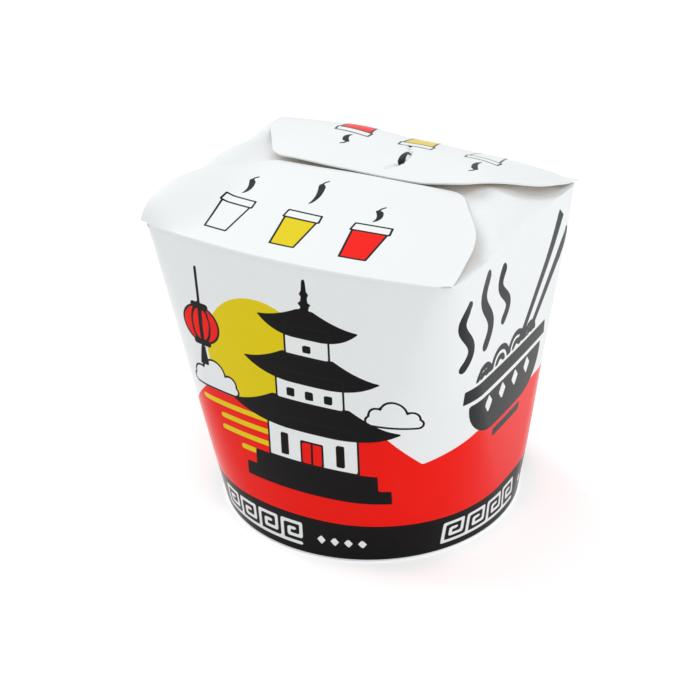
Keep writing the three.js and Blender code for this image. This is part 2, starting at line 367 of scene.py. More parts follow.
wallPrint = {
    "bandTop": 13.0, "bandFoot": 0.7, "frontRed": 44.5, "sideRed": 39.8, "cornerRed": 34.5,
    "frontShoulder": 28, "sideShoulder": 22, "frontCorner": 38.4, "sideCorner": 37.4,
    "redReach": 60, "redTuck": 2,
    "fretStart": -27.5, "fretKeys": 4, "fretPitch": 8.2, "fretFoot": 3.4, "fretHeight": 6.6,
    "fretWidth": 1.05, "fretSpan": 0.75, "fretTurns": (0.27, 0.5),
    "gems": 4, "gemStart": 9.5, "gemPitch": 3.9, "gemHeight": 6.4, "gemHalf": 1.25, "gemTallness": 1.25,
}


def mirrored(points):
    # A run of points and its mirror image in the upright axis, as one closed shape.
    return points + [(-u, v) for u, v in reversed(points)]


def trapeze(low, high, lowHalf, highHalf):
    # A shape with a level foot and top, by the middle point and the half width of each.
    return [(low[0] - lowHalf, low[1]), (low[0] + lowHalf, low[1]),
            (high[0] + highHalf, high[1]), (high[0] - highHalf, high[1])]


def upright(middle, low, high, half):
    return trapeze((middle, low), (middle, high), half, half)


tower = {
    "centre": 8, "plinthHeights": (21, 25.5, 30.5), "plinthHalves": (22, 18.5, 15.5),
    "floors": [
        {"foot": 70.0, "half": 15.0, "height": 7.0, "top": 2.2, "wall": 6.5, "wallHeight": 6.6,
         "windows": [0]},
        {"foot": 56.4, "half": 20.5, "height": 7.6, "top": 7.5, "wall": 10.0, "wallHeight": 7.0,
         "windows": [-5.6, 0, 5.6]},
        {"foot": 41.8, "half": 26.0, "height": 8.4, "top": 11.5, "wall": 13.5, "wallHeight": 11.3,
         "windows": [-8.4, 8.4]},
    ],
    "roofSteps": 8, "roofSweep": 1.7, "eaveSteps": 7, "eaveSweep": 3.2, "eaveSpan": (0.3, 0.97),
    "eaveLift": 3.2, "eaveDepth": 1.5, "wallTuck": 2, "clearance": 0.6,
    "windowHalf": 1.25, "windowSill": 1.3, "windowHead": 3.1, "doorHalf": 3.2, "doorHeight": 7.0,
    "doorLine": 0.7, "spire": [(-1.3, 76), (1.3, 76), (0.5, 85.5), (-0.5, 85.5)],
    "beads": [(78.6, 1.9), (81.4, 1.4)], "beadHalf": 0.8,
    "sunCentre": (-7, 58), "sunRadius": 18.5,
    "ripples": [(-12, 41.0, 17), (-9, 37.2, 13), (-13, 33.4, 9), (-10, 29.6, 5)], "rippleWidth": 1.6,
    "clouds": [(-24, 47.5, 1.0), (31.5, 49.5, 0.85)],
    "cloudHeads": [(-5.2, 0.6, 2.7), (0, 2.0, 4.2), (5.6, 0.4, 2.5)],
    "cloudFoot": 7.4, "cloudFall": 1.3, "cloudDepth": 2.8,
}


def roofShape(floor):
    # A curved roof: eaves whose ends turn up, and sides that sweep in to the top.
    # Both are powers of the way along.
    foot, half, height, top = floor["foot"], floor["half"], floor["height"], floor["top"]
    lift, depth = tower["eaveLift"], tower["eaveDepth"]
    sweep = [(mix(half, top, step), foot + lift + (height - lift) * step ** tower["roofSweep"])
             for step in np.linspace(0, 1, tower["roofSteps"])]
    under = [(half * step, foot - depth + (lift + depth) * step ** tower["eaveSweep"])
             for step in np.linspace(*tower["eaveSpan"], tower["eaveSteps"])]
    return [(tower["centre"] + u, v) for u, v in mirrored(under + sweep)]


def cloudField(u, v, cloud):
    # Three round heads over a flat foot, joined as the least of their distances.
    centreU, centreV, size = cloud
    half, level = tower["cloudFoot"] * size, centreV - tower["cloudFall"]
    foot = [(centreU - half, level), (centreU + half, level)]
    field = strokeField(u, v, foot, tower["cloudDepth"])
    for headU, headV, radius in tower["cloudHeads"]:
        centre = (centreU + headU * size, centreV + headV * size)
        field = np.minimum(field, discField(u, v, centre, radius * size))
    return field


def paintTower(sheet):
    # A three-storey tower in front of a low sun, on a stepped black plinth, with clouds on both sides.
    u, v, centre = sheet.u, sheet.v, tower["centre"]
    sun = discField(u, v, tower["sunCentre"], tower["sunRadius"])
    sheet.paint("inkYellow", np.maximum(sun, wallPrint["frontRed"] - v))
    for middle, height, half in tower["ripples"]:
        run = [(middle - half, height), (middle + half, height)]
        sheet.stroke("inkYellow", run, tower["rippleWidth"])
    steps = list(zip(tower["plinthHalves"], tower["plinthHeights"]))
    corners = [(steps[0][0], steps[0][1])]
    for (half, low), (nextHalf, high) in zip(steps[:-1], steps[1:]):
        corners += [(half, high), (nextHalf, high)]
    sheet.fill("inkBlack", [(centre + x, y) for x, y in mirrored(corners)])
    for cloud in tower["clouds"]:
        field = cloudField(u, v, cloud)
        sheet.paint("inkWhite", field)
        sheet.outline("edgeFirst", field)
    for floor in reversed(tower["floors"]):
        paintStorey(sheet, floor)
    sheet.fill("inkBlack", [(centre + x, y) for x, y in tower["spire"]])
    for height, half in tower["beads"]:
        sheet.paint("inkBlack", discField(u, v, (centre, height), half, tower["beadHalf"]))


def paintStorey(sheet, floor):
    # White outlined walls with black openings, under a black roof. The ground floor has a red door.
    u, v, centre = sheet.u, sheet.v, tower["centre"]
    low, high, half = floor["foot"] - floor["wallHeight"], floor["foot"], floor["wall"]
    wall = polygonField(u, v, upright(centre, low, high + tower["wallTuck"], half))
    sheet.paint("inkWhite", wall)
    sheet.fields["edgeFirst"] = np.where(wall < tower["clearance"], farAway, sheet.fields["edgeFirst"])
    sheet.outline("edgeFirst", wall)
    if floor is tower["floors"][-1]:
        head = low + tower["doorHeight"]
        door = polygonField(u, v, upright(centre, low, head, tower["doorHalf"]))
        sheet.paint("inkRed", door)
        sheet.outline("edgeSecond", door)
        sheet.stroke("inkBlack", [(centre, low), (centre, head)], tower["doorLine"])
    sill, head = low + tower["windowSill"], high - tower["windowHead"]
    for place in floor["windows"]:
        sheet.fill("inkBlack", upright(centre + place, sill, head, tower["windowHalf"]))
    sheet.fill("inkBlack", roofShape(floor))


lantern = {
    "centre": (-27.2, 64), "width": 6.6, "height": 5.6, "cordTop": 81, "cord": 1.0,
    "capHalf": 2.4, "cap": 1.8, "ribs": (0.0, 0.5), "rib": 0.75, "ribLeast": 0.4, "ribInset": 0.4,
    "tailFoot": 51.5, "tailTop": 57, "tailHalves": (1.7, 0.8),
}


def paintLantern(sheet):
    # A round hanging lantern: a cord, two caps, a ribbed body and a tassel.
    u, v = sheet.u, sheet.v
    x, y = lantern["centre"]
    width, height = lantern["width"], lantern["height"]
    sheet.stroke("inkBlack", [(x, lantern["cordTop"]), (x, lantern["tailTop"])], lantern["cord"])
    body = discField(u, v, (x, y), width, height)
    sheet.paint("inkRed", body)
    sheet.outline("edgeSecond", body)
    for share in lantern["ribs"]:
        ring = discField(u, v, (x, y), max(width * share, lantern["ribLeast"]), height)
        rib = np.abs(ring) - lantern["rib"] / 2
        sheet.paint("inkBlack", np.maximum(rib, body + lantern["ribInset"]))
    for capHeight in (y + height, y - height):
        cap = [(x - lantern["capHalf"], capHeight), (x + lantern["capHalf"], capHeight)]
        sheet.stroke("inkBlack", cap, lantern["cap"])
    tassel = trapeze((x, lantern["tailFoot"]), (x, lantern["tailTop"]), *lantern["tailHalves"])
    sheet.fill("inkBlack", tassel)


bowl = {
    "centre": -5, "rimHeight": 55, "rimHalf": 24, "rimDepth": 4.2, "bodyHalf": 21.5, "bodyFoot": 37.5,
    "footHalf": 8.5, "footTop": 37.5, "footFoot": 33.8, "clear": 1.3,
    "waves": [(-15.5, 3.6), (-6.5, 4.8), (3.5, 4.6), (12.5, 3.4)], "waveWidth": 1.7, "waveInner": 0.45,
    "waveLift": 0.6, "heapFoot": 0.9, "turnSteps": 12, "steamSteps": 15,
    "sticks": [[(1, 57), (27.5, 84.5)], [(8, 57), (32.5, 78)]], "stickFoot": 2.4, "stickHead": 3.8,
    "steam": [(-26, 63, 81, 2.9), (-16, 65.5, 85, 3.3), (-6, 68.5, 83, 2.9)], "steamSway": 2.5,
    "gems": (-12, -4, 4, 12), "gemHeight": 46.2, "gemHalf": 2.1,
}


def taperShape(start, end, startWidth, endWidth):
    # A straight bar whose width changes evenly from one end to the other.
    start, end = np.array(start, float), np.array(end, float)
    across = np.array([start[1] - end[1], end[0] - start[0]]) / np.linalg.norm(end - start) / 2
    return [start + across * startWidth, start - across * startWidth,
            end - across * endWidth, end + across * endWidth]


def paintBowl(sheet):
    # A steaming bowl of noodles with two sticks. Its bowl narrows by a quarter ellipse to a foot.
    u, v, centre = sheet.u, sheet.v, bowl["centre"]
    rimFoot = bowl["rimHeight"] - bowl["rimDepth"]
    turn = np.linspace(0, math.pi / 2, bowl["turnSteps"])
    reach = bowl["bodyHalf"] - bowl["footHalf"]
    fall = rimFoot - bowl["clear"] - bowl["bodyFoot"]
    side = [(bowl["footHalf"] + reach * math.sin(angle), bowl["bodyFoot"] + fall * (1 - math.cos(angle)))
            for angle in turn]
    body = polygonField(u, v, [(centre + x, y) for x, y in mirrored(side)])
    for gem in bowl["gems"]:
        hole = gemShape(centre + gem, bowl["gemHeight"], bowl["gemHalf"])
        body = np.maximum(body, -polygonField(u, v, hole))
    sheet.paint("inkSlate", body)
    rim = (bowl["rimHalf"], rimFoot, bowl["rimHeight"])
    foot = (bowl["footHalf"], bowl["footFoot"], bowl["footTop"] - bowl["clear"])
    for half, low, high in (rim, foot):
        sheet.fill("inkSlate", upright(centre, low, high, half))
    heapFoot = bowl["rimHeight"] + bowl["heapFoot"]
    for offset, radius in bowl["waves"]:
        heap = discField(u, v, (centre + offset, bowl["rimHeight"] + bowl["waveLift"]), radius)
        for inner in (radius, radius * bowl["waveInner"]):
            arch = np.abs(heap + radius - inner) - bowl["waveWidth"] / 2
            sheet.paint("inkSlate", np.maximum(arch, heapFoot - v))
    for start, end in bowl["sticks"]:
        stick = polygonField(u, v, taperShape(start, end, bowl["stickFoot"], bowl["stickHead"]))
        sheet.paint("inkSlate", np.maximum(stick, heapFoot - v))
    rise = np.linspace(0, 1, bowl["steamSteps"])
    for place, low, high, width in bowl["steam"]:
        curl = np.stack([centre + place + bowl["steamSway"] * np.sin(2 * math.pi * rise),
                         mix(low, high, rise)], -1)
        sheet.stroke("inkSlate", curl, width)


def gemShape(middle, level, half):
    # An upright diamond, a little taller than it is wide.
    tall = half * wallPrint["gemTallness"]
    return [(middle - half, level), (middle, level - tall), (middle + half, level), (middle, level + tall)]


def paintBand(sheet):
    # The black foot band with a running fret of square hooks and a row of small diamonds.
    band = np.maximum(sheet.v - wallPrint["bandTop"], wallPrint["bandFoot"] - sheet.v)
    sheet.paint("inkBlack", band)
    foot, height, pitch = wallPrint["fretFoot"], wallPrint["fretHeight"], wallPrint["fretPitch"]
    start, keys, width = wallPrint["fretStart"], wallPrint["fretKeys"], wallPrint["fretWidth"]
    span = wallPrint["fretSpan"]
    inner, last = wallPrint["fretTurns"]
    for key in range(keys):
        left = start + key * pitch
        hook = [(0, 0), (0, 1), (span, 1), (span, 1 / 3), (inner, 1 / 3), (inner, 2 / 3), (last, 2 / 3)]
        hook = [(left + along * pitch, foot + up * height) for along, up in hook]
        sheet.stroke("inkWhite", hook, width)
    sheet.stroke("inkWhite", [(start, foot), (start + (keys - 1 + span) * pitch, foot)], width)
    for gem in range(wallPrint["gems"]):
        middle = wallPrint["gemStart"] + gem * wallPrint["gemPitch"]
        sheet.fill("inkWhite", gemShape(middle, wallPrint["gemHeight"], wallPrint["gemHalf"]))


def paintWall(u, v, isFront):
    # The same band all round, a peaked red field, and one picture for front and back, one for the sides.
    sheets = []
    reach, valley = wallPrint["redReach"], wallPrint["cornerRed"]
    redFoot = wallPrint["bandTop"] - wallPrint["redTuck"]
    for face in ("front", "side"):
        sheet = Sheet(u, v)
        plateau, slope, corner = [wallPrint[face + part] for part in ("Red", "Shoulder", "Corner")]
        red = mirrored([(reach, 0), (reach, valley), (corner, valley), (slope, plateau)])
        sheet.paint("inkRed", np.maximum(polygonField(u, v, red), redFoot - v))
        if face == "front":
            paintTower(sheet)
            paintLantern(sheet)
        else:
            paintBowl(sheet)
        paintBand(sheet)
        sheets.append(sheet.clipped())
    return {name: np.where(isFront, sheets[0][name], sheets[1][name]) for name in inks + outlines}


pots = {
    "inks": ["inkWhite", "inkYellow", "inkRed"], "feet": (-23.9, -2.3, 18.1),
    "foot": 6.5, "footHalf": 3.6, "shoulder": 18.6, "shoulderHalf": 4.9,
    "lidTop": 21.8, "lidHalves": (5.5, 5.2), "lean": -0.15,
    "peppers": [(24.0, 9.0), (26.0, 12.0), (23.4, 7.4)], "pepperShift": -1.1, "pepperWidth": 2.5,
    "pepperBend": 1.1, "pepperTip": 0.16, "pepperPowers": (0.7, 0.8), "pepperRound": 6,
    "stem": 1.7, "stemWidth": 0.65, "stemPath": [(0, -0.3), (0.2, 0.85), (0.9, 1.7)],
}


def pepperField(u, v, tip, length):
    # A slim hot pepper standing on its tip: a taper with a round shoulder along a bowed line, and a stem.
    taperPower, bendPower = pots["pepperPowers"]
    share = np.clip((v - tip[1]) / (length - pots["stem"]), 0, 1)
    bend = pots["pepperBend"] * np.sin(math.pi * share ** bendPower)
    middle = tip[0] + bend + pots["lean"] * share * length
    taper = mix(pots["pepperTip"], 1, share ** taperPower)
    roundShare = np.clip((share - 1) * pots["pepperRound"] + 1, 0, 1)
    half = pots["pepperWidth"] / 2 * taper * np.sqrt(1 - roundShare ** 2)
    top = tip[1] + length - pots["stem"]
    body = np.maximum(np.abs(u - middle) - half, np.maximum(tip[1] - v, v - top))
    headU = tip[0] + pots["lean"] * length
    stem = [(headU + across, top + up) for across, up in pots["stemPath"]]
    return np.minimum(body, strokeField(u, v, stem, pots["stemWidth"]))


def paintPots(sheet):
    # Three lidded pots in white, yellow and red, each with a slim pepper behind it.
    u, v = sheet.u, sheet.v
    for foot, ink, (tipHeight, length) in zip(pots["feet"], pots["inks"], pots["peppers"]):

        def axis(height, shift=0):
            return foot + pots["lean"] * (height - pots["foot"]) + shift, height

        shoulder = axis(pots["shoulder"])
        body = trapeze(axis(pots["foot"]), shoulder, pots["footHalf"], pots["shoulderHalf"])
        lid = trapeze(shoulder, axis(pots["lidTop"]), *pots["lidHalves"])
        sheet.fill(ink, body)
        sheet.outline("edgeFirst", polygonField(u, v, body))
        sheet.outline("edgeSecond", polygonField(u, v, lid))
        tip = axis(tipHeight, pots["pepperShift"])
        sheet.paint("inkSlate", pepperField(u, v, tip, length))


# Body: wall, folded ends and the rim under them, as one closed surface.
bodyMesh = {
    "halfPanel": 64, "wallRows": 138, "creaseRows": 6, "roofRows": 34, "dense": 240,
    "rim": [(43.4, 3.4), (43.4, 0.4), (43.7, 0.05), (44.6, 0.0)], "foot": 0.15,
    "drop": 0.12, "dropFrom": 0.94,
    "seamAngle": 133.5, "seamWidth": (1, 13), "seamEdge": 0.35, "seamStep": 0.32, "seamTop": (80, 88),
    "wave": 0.10, "waves": [(3, 0.06, 0, 1), (7, -0.11, 1, 0.6)], "waveRise": (0, 18), "waveTop": (70, 88),
}


def wallRings():
    # Rings at even heights, close together round the crease. On each, points stand at even arc lengths
    # within every half panel.
    dense = bodyMesh["dense"]
    angles = np.linspace(0, 2 * math.pi, 8 * dense + 1) - math.pi / 4
    topX, topY = outlineXY(angles)
    baseX = carton["baseRadius"] * np.cos(angles)
    baseY = carton["baseRadius"] * np.sin(angles)
    spots = np.linspace(0, 1, bodyMesh["halfPanel"] + 1)[:-1]
    creaseShare = closure["creaseRound"] / carton["creaseHeight"]
    turn = np.linspace(0, math.pi / 2, bodyMesh["creaseRows"] + 1)
    shares = np.linspace(0, 1 - creaseShare, bodyMesh["wallRows"])
    shares = np.append(shares, 1 - creaseShare * (1 - np.sin(turn[1:])))
    ringAngles, ringU = [], []
    for share in shares:
        x, y = mix(baseX, topX, share), mix(baseY, topY, share)
        length = np.concatenate([[0], np.cumsum(np.hypot(np.diff(x), np.diff(y)))])
        ends = length[::dense]
        wanted = (ends[:-1, None] + np.diff(ends)[:, None] * spots).ravel()
        ringAngles.append(np.interp(wanted, length, angles))
        middle = np.repeat(length[dense::2 * dense], 2 * bodyMesh["halfPanel"])
        ringU.append(wanted - middle)
    return shares, np.array(ringAngles), np.array(ringU)


def wallRelief(x, y, z, angles):
    # Slow waves over the wall, and the glued side seam: a step at one line that fades out beside it.
    # A wave is a sine of so many turns round the wall, shifted with the height.
    fade = smoothStep(*bodyMesh["waveRise"], z) * (1 - smoothStep(*bodyMesh["waveTop"], z))
    waves = [size * np.sin(turns * angles + climb * z + start)
             for turns, climb, start, size in bodyMesh["waves"]]
    beyond = (angles - math.radians(bodyMesh["seamAngle"])) * np.hypot(x, y)
    edge = bodyMesh["seamEdge"]
    past = smoothStep(-edge, edge, beyond) * (1 - smoothStep(*bodyMesh["seamWidth"], beyond))
    step = bodyMesh["seamStep"] * past * (1 - smoothStep(*bodyMesh["seamTop"], z))
    offset = bodyMesh["wave"] * np.sum(waves, 0) * fade + step
    return x + offset * np.cos(angles), y + offset * np.sin(angles)


def buildBody():
    # The wall runs straight from the base circle to the top outline. The roof's rings shrink that outline
    # towards the middle, close together beside the crease.
    shares, angles, u = wallRings()
    share = shares[:, None]
    topX, topY = outlineXY(angles)
    x = mix(carton["baseRadius"] * np.cos(angles), topX, share)
    y = mix(carton["baseRadius"] * np.sin(angles), topY, share)
    z = carton["creaseHeight"] * share + 0 * x
    panel = np.round(angles / (math.pi / 2))
    isFront = np.abs(panel % 2) == 1
    # The rim turns under and stands round the disc.
    rim = turned(bodyMesh["rim"], angles[0])
    rings = (np.arange(1, bodyMesh["roofRows"] + 1) / bodyMesh["roofRows"]) ** 2
    size = 1 - rings[:-1, None]
    roofX, roofY = topX[-1] * size, topY[-1] * size
    roofFoot = carton["creaseHeight"] - bodyMesh["drop"]
    roofZ = roofFoot + roofHeight(roofX, roofY) - cornerNotch(roofX, roofY)
    fall = bodyMesh["drop"] + closure["wallNotch"] * cornerNotch(x, y)
    z = z - fall * smoothStep(bodyMesh["dropFrom"], 1, share)
    z[0] = bodyMesh["foot"]
    x = x - np.sign(x) * shoulder(x, y, z)
    roofX = roofX - np.sign(roofX) * shoulder(roofX, roofY, carton["creaseHeight"] + 0 * roofX)
    x, y = wallRelief(x, y, z, angles)
    points = np.concatenate([rim, np.stack([x, y, z], -1), np.stack([roofX, roofY, roofZ], -1)])
    rows, columns = points.shape[:2]
    middle = np.array(0.0)
    poles = [[0, 0, carton["recessDepth"]], [0, 0, roofFoot + roofHeight(middle, middle)]]
    points = np.concatenate([points.reshape(-1, 3), poles])
    piece = putMesh("carton_body", points, closedFaces(rows, columns))
    piece.data.set_sharp_from_angle(angle=sharpAngle)
    fields = paintWall(u, z, isFront)
    start = len(rim) * columns
    for name in inks + outlines:
        values = np.full(len(points), farAway)
        values[start:start + x.size] = fields[name].ravel()
        setField(piece, name, values)
    return piece


flap = {
    "thickness": 0.45, "ear": 46.6, "earTip": 0.3, "columns": 340, "rows": 118,
    "corners": [(43.1, 22.5), (29.8, 43.0), (0, 45.4)], "reaches": [7, 4, 14],
    "lipDrop": 0.75, "lipReach": 0.14, "lipFrom": 42.5, "lipTo": 45.0,
    "lipRows": 4, "lipLeast": 0.02, "earLift": 0.5, "earFrom": 41.5, "earDepth": 7,
    "wave": 0.09, "waveFrom": (0, 8), "broadWave": (0.115, 0.13, 0.6), "fineWave": (0.26, -0.09, 0.5),
    "slit": [(4.0, 5.0), (5.8, 8.2), (6.4, 11.5), (5.8, 15.4), (4.2, 19.0), (1.8, 22.4)],
    "slitDepth": 1.1, "slitHalf": 0.42, "slitLift": 0.3, "tonguePlace": (0, 13),
    "tongueRadius": 5, "bareFrom": 6, "backShift": 1.5,
}


def softPath(corners, reaches, steps=60):
    # Straight lines with each inner corner replaced by a curve from one reach before to one after it.
    corners = np.asarray(corners, float)
    share = np.linspace(0, 1, steps)[:, None]
    runs = [corners[:1]]
    for before, corner, after, reach in zip(corners[:-2], corners[1:-1], corners[2:], reaches):
        start = corner + (before - corner) * reach / np.linalg.norm(before - corner)
        end = corner + (after - corner) * reach / np.linalg.norm(after - corner)
        runs.append((1 - share) ** 2 * start + 2 * share * (1 - share) * corner + share ** 2 * end)
    return np.concatenate(runs + [corners[-1:]])


def evenly(path, count):
    # The same path with its points at even distances along it.
    length = np.concatenate([[0], np.cumsum(np.linalg.norm(np.diff(path, axis=0), axis=1))])
    wanted = np.linspace(0, length[-1], count)
    return np.stack([np.interp(wanted, length, path[:, axis]) for axis in (0, 1)], -1)


def flapEdge(columns):
    # The cut edge from the left ear to the right one, with two soft corners on each side.
    right = [(flap["ear"], flap["earTip"])] + flap["corners"]
    reaches = flap["reaches"]
    corners = [(-x, inward) for x, inward in right[:-1]] + right[::-1]
    edge = evenly(softPath(corners, reaches[:-1] + reaches[::-1]), columns + 1)
    return edge[:, 0], edge[:, 1]


def flapDetail(x, inward, side):
    # Small heights on top of the flap's form: raised ears, slow waves and, at the back, a curved slit. The
    # waves are a product of two sines and a slanting sine; the slit and its tongue are bells.
    ear = smoothStep(flap["earFrom"], flap["ear"], np.abs(x)) * (1 - smoothStep(0, flap["earDepth"], inward))
    turnX, turnIn, start = flap["broadWave"]
    slantX, slantIn, size = flap["fineWave"]
    waves = np.sin(turnX * x + side) * np.sin(turnIn * inward + start)
    waves = waves + size * np.sin(slantX * x + slantIn * inward)
    height = flap["earLift"] * ear + flap["wave"] * waves * smoothStep(*flap["waveFrom"], inward)
    if side > 0:
        y = creaseDistance(x) - inward
        away = strokeField(x, y, flap["slit"], 0)
        height = height - flap["slitDepth"] * np.exp(-(away / flap["slitHalf"]) ** 2)
        away = np.hypot(x - flap["tonguePlace"][0], y - flap["tonguePlace"][1])
        height = height + flap["slitLift"] * np.exp(-(away / flap["tongueRadius"]) ** 2)
    return height


def buildFlap(name, side, heightAt):
    # Straight lines from the crease to the cut edge, set on the flap's height and given two faces.
    edgeX, edgeInward = flapEdge(flap["columns"])
    creaseX = np.linspace(-flap["ear"], flap["ear"], len(edgeX))
    share = np.linspace(0, 1, flap["rows"] + 1)[:, None]
    x = mix(creaseX, edgeX, share)
    inward = edgeInward * share
    y = side * (creaseDistance(x) - inward)
    z = carton["creaseHeight"] + heightAt(x, inward) + flapDetail(x, inward, side)
    # The fold: the first rows roll over the crease and end against the wall, except at the ears.
    roll = np.linspace(math.pi / 2, 0, flap["lipRows"] + 1)[:-1, None]
    lipX = creaseX + 0 * roll
    fold = 1 - smoothStep(flap["lipFrom"], flap["lipTo"], np.abs(lipX))
    lipOut = (flap["lipLeast"] + flap["lipReach"] * fold) * np.sin(roll)
    lipY = side * (creaseDistance(lipX) + lipOut)
    lipZ = z[:1] - (flap["lipLeast"] + flap["lipDrop"] * fold) * (1 - np.cos(roll))
    top = np.stack([np.vstack([lipX, x]), np.vstack([lipY, y]), np.vstack([lipZ, z])], -1)
    rows, columns = top.shape[:2]
    acrossRows = np.gradient(top, axis=0)
    acrossColumns = np.gradient(top, axis=1)
    normal = np.cross(acrossColumns, acrossRows) * -side
    normal /= np.linalg.norm(normal, axis=-1, keepdims=True)
    bottom = top - flap["thickness"] * normal
    count = rows * columns
    upper = gridFaces(rows, columns, False)
    lower = gridFaces(rows, columns, False, count)[:, ::-1]
    loop = np.concatenate([
        np.arange(columns), np.arange(1, rows) * columns + columns - 1,
        (rows - 1) * columns + np.arange(columns - 2, -1, -1), np.arange(rows - 2, 0, -1) * columns,
    ])
    ahead = np.roll(loop, -1)
    edge = np.stack([ahead, loop, loop + count, ahead + count], -1)
    faces = np.concatenate([upper, lower, edge])
    if side > 0:
        faces = faces[:, ::-1]
    points = np.concatenate([top.reshape(-1, 3), bottom.reshape(-1, 3)])
    piece = putMesh(name, points, faces.tolist())
    piece.data.set_sharp_from_angle(angle=sharpAngle)
    printShift = flap["backShift"] if side > 0 else 0
    sheet = Sheet(side * -np.vstack([lipX, x]) - printShift, np.vstack([0 * lipX - 1, inward]))
    paintPots(sheet)
    for field, values in sheet.clipped().items():
        setField(piece, field, np.concatenate([values.ravel(), np.full(count, farAway)]))
    deep = np.vstack([0 * lipX, inward])[:-1, :-1].ravel() > flap["bareFrom"]
    bare = np.concatenate([np.zeros(len(upper)), deep, np.zeros(len(edge))])
    setField(piece, "insideFace", bare, "FACE")
    return piece


disc = {
    "sides": 256,
    "profile": [
        (0, 2.4), (30, 2.4), (31, 2.1), (33, 2.1), (34, 2.4), (41.6, 2.4), (42.2, 2.1), (42.45, 1.6),
        (42.5, 0.7), (42.75, 0.6), (43.0, 0.7), (43.0, 2.6), (42.8, 2.9), (42.3, 3.0), (0, 3.0),
    ],
}


def buildDisc():
    # A profile turned round the axis: a shallow upturned tray with a pressed ring.
    profile = disc["profile"]
    points = turned(profile[1:-1], np.linspace(0, 2 * math.pi, disc["sides"] + 1)[:-1])
    rows, columns = points.shape[:2]
    poles = [[0, 0, profile[0][1]], [0, 0, profile[-1][1]]]
    points = np.concatenate([points.reshape(-1, 3), poles])
    return putMesh("bottom_disc", points, closedFaces(rows, columns))


def newNode(tree, kind, **settings):
    # A node with its settings, such as the operation of a math node.
    node = tree.nodes.new(kind)
    for name, value in settings.items():
        setattr(node, name, value)
    return node


def setInputs(node, values):
    for label, value in values.items():
        node.inputs[label].default_value = value


def mathNode(tree, operation, *terms):
    # A math node whose terms are numbers or other nodes' outputs.
    node = newNode(tree, "ShaderNodeMath", operation=operation)
    for socket, term in zip(node.inputs, terms):
        if isinstance(term, (int, float)):
            socket.default_value = term
        else:
            tree.links.new(term, socket)
    return node.outputs[0]


def newGroup(name, inputs, outputs):
    # An empty node group with its sockets, each a label and a kind.
    tree = bpy.data.node_groups.new(name, "ShaderNodeTree")
    for direction, sockets in (("INPUT", inputs), ("OUTPUT", outputs)):
        for label, kind in sockets:
            tree.interface.new_socket(name=label, in_out=direction, socket_type="NodeSocket" + kind)
    return tree, tree.nodes.new("NodeGroupInput"), tree.nodes.new("NodeGroupOutput")


grain = {
    "fibreScale": 1400, "fibreDetail": 3, "cloudScale": 45, "cloudDetail": 4, "tone": 0.965,
    "fibreHeight": 0.35, "glossGain": 0.10, "glossShift": -0.05,
}


def makeGrainGroup():
    # Board grain: fine pressed fibres over a slow cloudiness, as a tone near one, a height and a gloss.
    tree, inlet, outlet = newGroup(
        "boardGrain", [("Place", "Vector"), ("Fibre", "Float"), ("Cloud", "Float")],
        [("Tone", "Float"), ("Height", "Float"), ("Gloss", "Float")],
    )
    noises = {}
    for name in ("fibre", "cloud"):
        noise = newNode(tree, "ShaderNodeTexNoise")
        setInputs(noise, {"Scale": grain[name + "Scale"], "Detail": grain[name + "Detail"]})
        tree.links.new(inlet.outputs["Place"], noise.inputs["Vector"])
        noises[name] = noise.outputs["Fac"]
    fibre, cloud = noises["fibre"], noises["cloud"]
    tone = mathNode(tree, "MULTIPLY_ADD", cloud, inlet.outputs["Cloud"], grain["tone"])
    results = {
        "Tone": mathNode(tree, "MULTIPLY_ADD", fibre, inlet.outputs["Fibre"], tone),
        "Height": mathNode(tree, "MULTIPLY_ADD", fibre, grain["fibreHeight"], cloud),
        "Gloss": mathNode(tree, "MULTIPLY_ADD", cloud, grain["glossGain"], grain["glossShift"]),
    }
    for label, result in results.items():
        tree.links.new(result, outlet.inputs[label])
    return tree


def makeInkGroup():
    # One ink over what is under it: full where its field is below the reach, none where it is above.
    tree, inlet, outlet = newGroup(
        "inkLayer", [("Under", "Color"), ("Ink", "Color"), ("Field", "Float"), ("Reach", "Float")],
        [("Colour", "Color")],
    )
    ramp = newNode(tree, "ShaderNodeMapRange", interpolation_type="SMOOTHSTEP")
    setInputs(ramp, {"From Min": -board["inkBlur"], "From Max": board["inkBlur"]})
    past = mathNode(tree, "SUBTRACT", inlet.outputs["Reach"], inlet.outputs["Field"])
    tree.links.new(past, ramp.inputs["Value"])
    blend = newNode(tree, "ShaderNodeMix", data_type="RGBA")
    tree.links.new(ramp.outputs["Result"], blend.inputs["Factor"])
    tree.links.new(inlet.outputs["Under"], blend.inputs["A"])
    tree.links.new(inlet.outputs["Ink"], blend.inputs["B"])
    tree.links.new(blend.outputs["Result"], outlet.inputs["Colour"])
    return tree


def rgb(red, green, blue):
    # A display colour in 0 to 255 as the linear colour that a socket takes.
    def linear(value):
        value /= 255
        return value / 12.92 if value <= 0.04045 else ((value + 0.055) / 1.055) ** 2.4
    return (linear(red), linear(green), linear(blue), 1)


board = {
    "white": rgb(229, 233, 234), "inside": rgb(240, 215, 190), "roughness": 0.36, "specular": 0.10,
    "haze": 0.60, "hazeRoughness": 0.25,
    "inkRed": rgb(234, 14, 0), "inkYellow": rgb(221, 199, 3), "inkSlate": rgb(34, 36, 38),
    "inkBlack": rgb(9, 7, 9), "inkWhite": rgb(229, 233, 234), "inkBlur": 0.07,
    "edge": rgb(14, 14, 16), "edgeHalf": 0.31,
    "fibre": 0.03, "cloud": 0.03, "bump": 0.25, "bumpDepth": 0.00004,
}
plain = {
    "white": rgb(240, 237, 230), "roughness": 0.62,
    "fibre": 0.06, "cloud": 0.05, "bump": 0.4, "bumpDepth": 0.00005,
}


